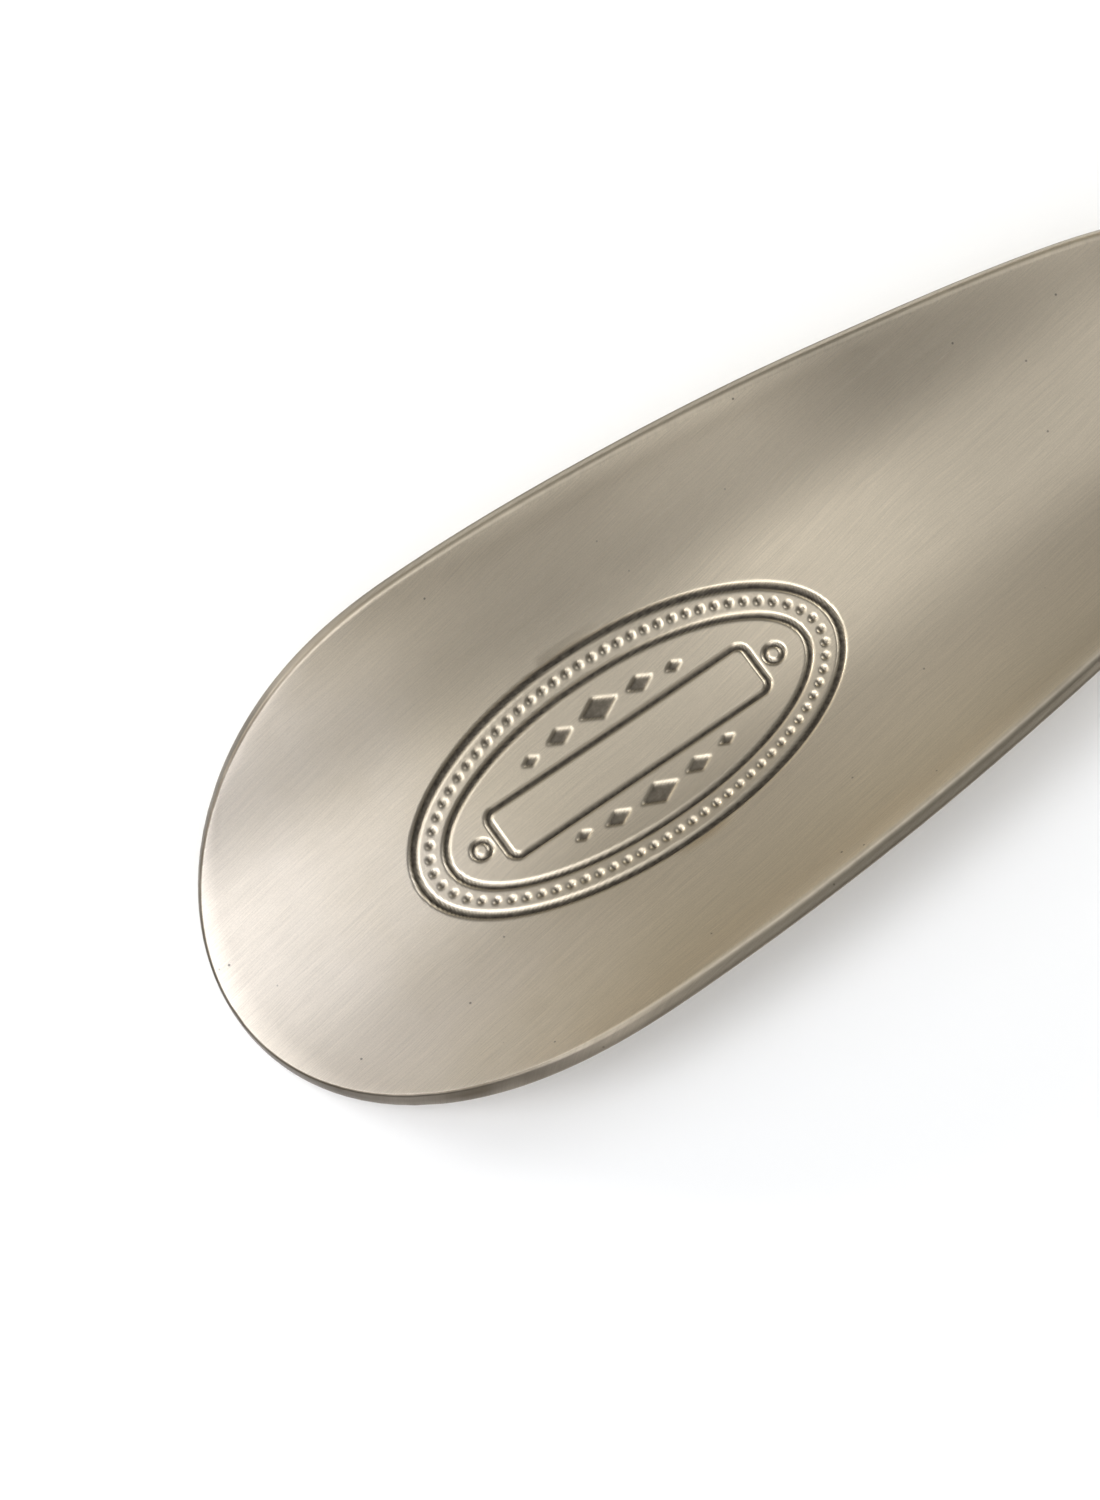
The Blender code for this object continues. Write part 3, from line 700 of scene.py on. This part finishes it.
def build_stitches(name, z_plane, outward, node):
    verts, faces, uvs = [], [], []
    rad, sides, seg = 0.40, 10, 12
    n = len(HOLES)
    for i in range(n):
        (ax, ay), (bx, by) = HOLES[i], HOLES[(i + 1) % n]
        length = math.hypot(bx - ax, by - ay)
        tx, ty = (bx - ax) / length, (by - ay) / length
        # each stitch slants a little across the seam line
        slant = 0.16
        rings = []
        for k in range(seg + 1):
            t = k / seg
            along = 0.10 * length + (length * 0.80) * t
            side = slant * (2 * t - 1)
            rise = math.sin(math.pi * t) ** 0.55
            up = -0.62 + 0.66 * rise
            r = rad * (0.55 + 0.45 * min(1.0, 3.5 * min(t, 1 - t) + 0.15))
            cx, cy, cz = ax + tx * along - ty * side, ay + ty * along + tx * side, z_plane + outward * (up - rad * 0.35)
            # direction of the path for the ring's plane
            slope = math.pi * math.cos(math.pi * t) * 0.25
            sl = slope / math.hypot(1, slope)
            cl = 1 / math.hypot(1, slope)
            start = len(verts)
            for m in range(sides):
                a = 2 * math.pi * m / sides
                u, v = math.cos(a) * r, math.sin(a) * r
                verts.append((cx + (-ty) * u - tx * v * sl - LENGTH / 2, cy + tx * u - ty * v * sl, cz + outward * v * cl))
                uvs.append((i * 4.0 + along, m / sides))
            rings.append(list(range(start, start + sides)))
        for a, b in zip(rings[:-1], rings[1:]):
            for m in range(sides):
                q = (a[m], a[(m + 1) % sides], b[(m + 1) % sides], b[m])
                faces.append(q if outward > 0 else q[::-1])
        faces.append(tuple(rings[0][::-1]) if outward > 0 else tuple(rings[0]))
        faces.append(tuple(rings[-1]) if outward > 0 else tuple(rings[-1][::-1]))
    ob = mesh_object(name, verts, faces, thread_mat, uvs)
    bm = bmesh.new()
    bm.from_mesh(ob.data)
    bmesh.ops.recalc_face_normals(bm, faces=bm.faces)
    bm.to_mesh(ob.data)
    bm.free()
    ob.data.shade_smooth()
    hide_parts(node)
    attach(ob, ROOT)
    return ob


build_stitches("stitches_top", UPPER_TOP - 0.30, 1.0, "stitching_top")
build_stitches("stitches_bottom", 0.42, -1.0, "stitching_bottom")


# ---- rivets ---------------------------------------------------------------------------------------------
def turned_metal(name):
    n = Nodes(name)
    obj = n.mapped(n.new("ShaderNodeTexCoord").outputs["Object"], (1000, 1000, 1000))
    sep = n.new("ShaderNodeSeparateXYZ", inputs={0: obj})
    r = n.math("SQRT", n.math("ADD", n.math("MULTIPLY", sep.outputs[0], sep.outputs[0]),
                              n.math("MULTIPLY", sep.outputs[1], sep.outputs[1])))
    rings = n.noise(n.new("ShaderNodeCombineXYZ", inputs={"X": n.math("MULTIPLY", r, 9.0)}).outputs[0], 1.0, 3)
    scuff = n.noise(obj, 1.6, 4, 0.6)
    tone = n.math("ADD", n.math("MULTIPLY", rings, 0.5), n.math("MULTIPLY", scuff, 0.5))
    colour = n.mix(n.range(tone, 0.35, 0.65), NICKEL_DARK, NICKEL_LIGHT)
    # near-black towards the outer lip of each head, where it meets the leather: painted shade
    colour = n.mix(n.range(r, 4.15, 4.6, 0.0, 0.8), colour, (0.07, 0.055, 0.042))
    bump = n.new("ShaderNodeBump", inputs={"Strength": 0.25, "Distance": 0.00005, "Height": tone})
    n.set(Metallic=1.0, Base_Color=colour, Roughness=n.range(tone, 0.3, 0.7, 0.36, 0.24), Normal=bump.outputs[0])
    return n.mat


rivet_mat = turned_metal("turned_nickel")


def turned(name, profile, s, mat, node, steps=72):
    """Profile of (radius, height) pairs from the axis top down the outside and back to the axis."""
    verts, faces = [], []
    rings = []
    for r, z in profile:
        start = len(verts)
        if r < 1e-6:
            verts.append((0.0, 0.0, z))
            rings.append([start])
        else:
            for i in range(steps):
                a = 2 * math.pi * i / steps
                verts.append((r * math.cos(a), r * math.sin(a), z))
            rings.append(list(range(start, start + steps)))
    for a, b in zip(rings[:-1], rings[1:]):
        for i in range(steps):
            k = (i + 1) % steps
            if len(a) == 1:
                faces.append((a[0], b[i], b[k]))
            elif len(b) == 1:
                faces.append((a[i], b[0], a[k]))
            else:
                faces.append((a[i], b[i], b[k], a[k]))
    ob = mesh_object(name, verts, faces, mat)
    ob.data.set_sharp_from_angle(angle=math.radians(40))
    ob.location = ((s - LENGTH / 2) * MM, 0, 0)
    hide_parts(node)
    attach(ob, ROOT)
    return ob


POST, BORE, SLEEVE, HEAD = 1.5, 1.8, 2.5, 4.5
seat = UPPER_TOP - 0.8 + 0.3
post_top = UPPER_TOP - 0.6
for i, s in enumerate(RIVETS_AT, 1):
    top = seat + 1.6
    cap = [(0.0, top)]
    cap += [(4.2 * math.sin(a), seat + 0.62 + (top - seat - 0.62) * math.cos(a)) for a in np.linspace(0.12, math.pi / 2, 14)]
    cap += [(4.2 + 0.3 * math.sin(b), seat + 0.32 + 0.30 * math.cos(b)) for b in np.linspace(0.1, math.pi * 0.9, 8)]
    cap += [(4.2, seat), (SLEEVE, seat), (SLEEVE, UPPER_BOTTOM + 0.1), (BORE, UPPER_BOTTOM + 0.1),
            (BORE, post_top + 0.35), (0.0, post_top + 0.35)]
    turned(f"rivet_dome_{i}", cap, s, rivet_mat, f"rivet_cap_{i}")
    head = [(0.0, post_top), (POST - 0.2, post_top), (POST, post_top - 0.2), (POST, 1.0), (HEAD - 0.25, 1.0)]
    head += [(HEAD - 0.25 + 0.25 * math.sin(b), 0.75 + 0.25 * math.cos(b)) for b in np.linspace(0.2, math.pi / 2, 5)]
    head += [(HEAD - 0.25 + 0.25 * math.cos(b), 0.35 - 0.25 * math.sin(b)) for b in np.linspace(0.0, math.pi / 2, 6)]
    head += [(HEAD * 0.7, 0.1), (1.2, 0.1), (1.0, 0.25), (0.0, 0.3)]
    turned(f"rivet_foot_{i}", head, s, rivet_mat, f"rivet_post_{i}")


# ---- hang ring ------------------------------------------------------------------------------------------
def ring_path(count=220):
    """Even points round the D outline in the ring's own plane, the bar along Y."""
    pts = [(0.0, RING_BAR_HALF * t) for t in np.linspace(-1, 1, 60)[:-1]]
    pts += [(RING_CORNER * (1 - math.cos(a)), RING_BAR_HALF + RING_CORNER * math.sin(a)) for a in np.linspace(0, math.pi / 2, 30)[:-1]]
    bow, side = RING_REACH - RING_CORNER, RING_BAR_HALF + RING_CORNER
    pts += [(RING_CORNER + bow * math.sin(a), side * math.cos(a)) for a in np.linspace(0, math.pi, 200)[:-1]]
    pts += [(RING_CORNER * (1 - math.cos(a)), -RING_BAR_HALF - RING_CORNER * math.sin(a)) for a in np.linspace(math.pi / 2, 0, 30)[:-1]]
    P = np.array(pts + [pts[0]])
    L = np.concatenate([[0], np.cumsum(np.hypot(*np.diff(P, axis=0).T))])
    t = np.linspace(0, L[-1], count + 1)[:-1]
    return np.stack([np.interp(t, L, P[:, 0]), np.interp(t, L, P[:, 1])], -1), t


def build_ring():
    pts, t = ring_path()
    tan = np.roll(pts, -1, 0) - np.roll(pts, 1, 0)
    tan /= np.linalg.norm(tan, axis=1, keepdims=True)
    sides = 28
    ca, sa = math.cos(RING_DROOP), math.sin(RING_DROOP)
    verts, uvs, faces, rims = [], [], [], []
    for (x, y), (tx, ty), d in zip(pts, tan, t):
        for m in range(sides):
            a = 2 * math.pi * m / sides
            lx, ly, lz = x + ty * WIRE_RADIUS * math.cos(a), y - tx * WIRE_RADIUS * math.cos(a), WIRE_RADIUS * math.sin(a)
            verts.append((TANG_END + lx * ca + lz * sa - LENGTH / 2, ly, PIVOT_Z - lx * sa + lz * ca))
            uvs.append((d, m * 2 * math.pi * WIRE_RADIUS / sides))
            rims.append(0.5 + 0.5 * math.cos(a))
    n = len(pts)
    for i in range(n):
        for m in range(sides):
            a, b = i * sides + m, i * sides + (m + 1) % sides
            c, e = ((i + 1) % n) * sides + (m + 1) % sides, ((i + 1) % n) * sides + m
            faces.append((a, b, c, e))
    mat = brushed_metal("wire_nickel", NICKEL_LIGHT, NICKEL_DARK, 0.3, streak_axis="uv")
    ob = mesh_object("d_ring", verts, faces, mat, uvs, [("rim", np.array(rims))])
    bm = bmesh.new()
    bm.from_mesh(ob.data)
    bmesh.ops.recalc_face_normals(bm, faces=bm.faces)
    bm.to_mesh(ob.data)
    bm.free()
    ob.data.shade_smooth()
    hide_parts("hang_ring")
    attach(ob, RING)
    return ob


build_ring()


# ---- floor ----------------------------------------------------------------------------------------------
def build_floor():
    n = Nodes("floor_white")
    obj = n.new("ShaderNodeTexCoord").outputs["Object"]
    tone = n.range(n.noise(obj, 3.0, 2), 0.3, 0.7, 0.93, 0.95)
    n.set(Base_Color=n.new("ShaderNodeCombineColor", inputs={0: tone, 1: tone, 2: tone}).outputs[0], Roughness=0.9)
    n.bsdf.inputs["Specular IOR Level"].default_value = 0.1
    bm = bmesh.new()
    bmesh.ops.create_grid(bm, x_segments=4, y_segments=4, size=3.0)
    me = bpy.data.meshes.new("floor")
    bm.to_mesh(me)
    bm.free()
    me.materials.append(n.mat)
    ob = bpy.data.objects.new("floor", me)
    ob.location = (0, 0, -0.00015)
    bpy.context.scene.collection.objects.link(ob)


build_floor()


# ---- light ----------------------------------------------------------------------------------------------
def soft_panel(name, azimuth, elevation, power, colour=(1, 1, 1), size=0.7, distance=1.5, target=(60.0, 0.0, 5.0)):
    """Round soft box on a dome round the spoon; azimuth 0 is on the -Y side, 90 towards +X."""
    a, e = math.radians(azimuth), math.radians(elevation)
    t = Vector((target[0] - LENGTH / 2, target[1], target[2])) * MM
    d = Vector((math.sin(a) * math.cos(e), -math.cos(a) * math.cos(e), math.sin(e)))
    data = bpy.data.lights.new(name, "AREA")
    data.shape = "DISK"
    data.size = size
    data.energy = power
    data.color = colour
    ob = bpy.data.objects.new(name, data)
    bpy.context.scene.collection.objects.link(ob)
    ob.location = t + d * distance
    ob.rotation_mode = "QUATERNION"
    ob.rotation_quaternion = (-d).to_track_quat("-Z", "Y")
    return ob


def build_world(colour):
    world = bpy.data.worlds.new("studio")
    bpy.context.scene.world = world
    world.use_nodes = True
    bg = world.node_tree.nodes["Background"]
    bg.inputs[0].default_value = (*colour, 1.0)
    bg.inputs[1].default_value = 1.0


build_world((0.12, 0.12, 0.12))
PANELS = [                      # azimuth, elevation, watts for red, green and blue
    (120.0, 12.0, (4.7, 4.3, 3.0)),
    (180.0, 12.0, (0.3, 0.3, 0.25)),
    (210.0, 12.0, (15.4, 15.2, 14.8)),
    (100.0, 32.0, (4.85, 4.95, 5.0)),
    (180.0, 32.0, (0.48, 0.46, 0.43)),
    (340.0, 32.0, (5.6, 5.65, 5.75)),
    (206.0, 52.0, (2.05, 2.05, 2.0)),
    (257.0, 52.0, (5.95, 6.0, 6.1)),
    (308.5, 52.0, (3.45, 3.55, 3.7)),
    (102.0, 72.0, (0.26, 0.28, 0.3)),
    (174.0, 72.0, (0.66, 0.66, 0.67)),
    (246.0, 72.0, (2.45, 2.5, 2.55)),
    (318.0, 72.0, (3.1, 3.12, 3.17)),
]
for number, (azimuth, elevation, watts) in enumerate(PANELS):
    top = max(watts)
    soft_panel(f"panel_{number}", azimuth, elevation, top, tuple(w / top for w in watts))

bpy.context.scene.view_settings.view_transform = "Standard"
